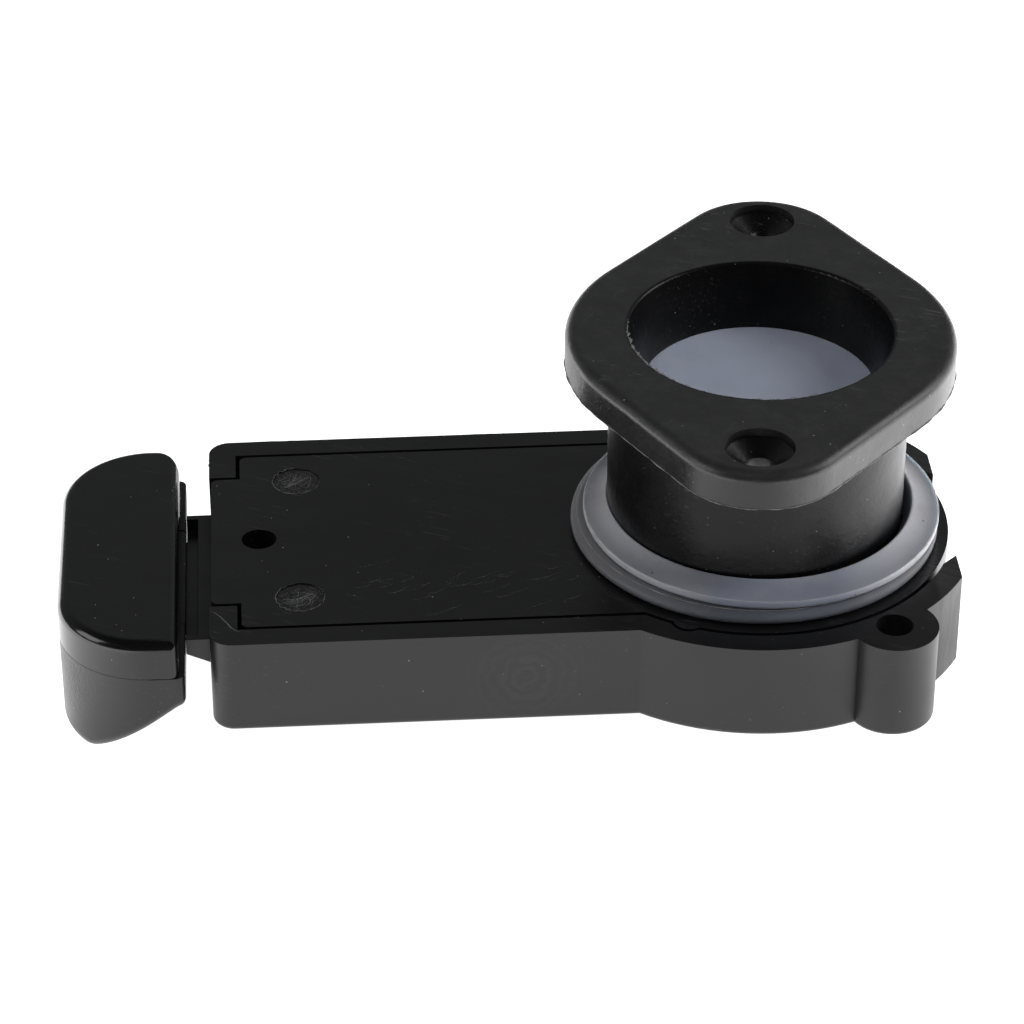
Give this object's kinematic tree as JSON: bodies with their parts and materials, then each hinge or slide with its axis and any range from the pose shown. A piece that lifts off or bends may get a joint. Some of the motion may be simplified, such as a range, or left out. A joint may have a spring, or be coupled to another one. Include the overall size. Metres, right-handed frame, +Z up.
{
  "type": "slide gate valve",
  "caption": "Flat slide-gate valve with a pull handle, a round neck with a two-screw deck flange, sealing rings and a sprung check disc.",
  "frame": {"origin": "on the bore axis at the housing's underside, the centre of the outlet port's mouth", "axes": "+Z up along the bore to the deck flange; -X along the stem towards the pull handle, which moves along -X; Y across the housing, along its two ears"},
  "size_m": [0.1304, 0.077, 0.0542],
  "materials": {
    "moulded_black": "satin black moulding",
    "flange_black": "lightly scuffed satin black moulding",
    "handle_gloss": "polished black moulding",
    "silicone_upper": "translucent white silicone",
    "silicone_lower": "translucent white silicone",
    "disc_silicone": "smooth white silicone",
    "seal_rubber": "black nitrile",
    "blade_white": "natural acetal",
    "steel": "stainless steel"
  },
  "bodies": {
    "valve_body": {"housing": "moulded_black", "cover_plate": "moulded_black", "deck_flange": "flange_black", "body_gasket": "silicone_lower", "deck_gasket": "silicone_upper", "neck_o_ring": "seal_rubber", "gate_seal_lower": "seal_rubber", "gate_seal_upper": "seal_rubber", "stem_wiper": "seal_rubber", "wiper_retainer": "moulded_black", "disc_spider": "moulded_black", "disc_spring": "steel"},
    "gate": {"gate_plate": "blade_white", "stem": "moulded_black", "gate_screws": "steel", "handle_shell": "moulded_black", "handle_cap": "handle_gloss", "handle_screws": "steel"},
    "disc": {"check_disc": "disc_silicone", "disc_pin": "steel", "pin_clip": "steel"}
  },
  "joints": [
    {"name": "gate_slide", "type": "slide", "parent": "valve_body", "child": "gate", "axis": [-1, 0, 0], "range_m": [0, 0.042]},
    {"name": "disc_drop", "type": "slide", "parent": "valve_body", "child": "disc", "axis": [0, 0, -1], "range_m": [0, 0.0045], "stiffness_N_per_m": 60, "springref_m": -0.008, "deforming": ["disc_spring"]}
  ]
}
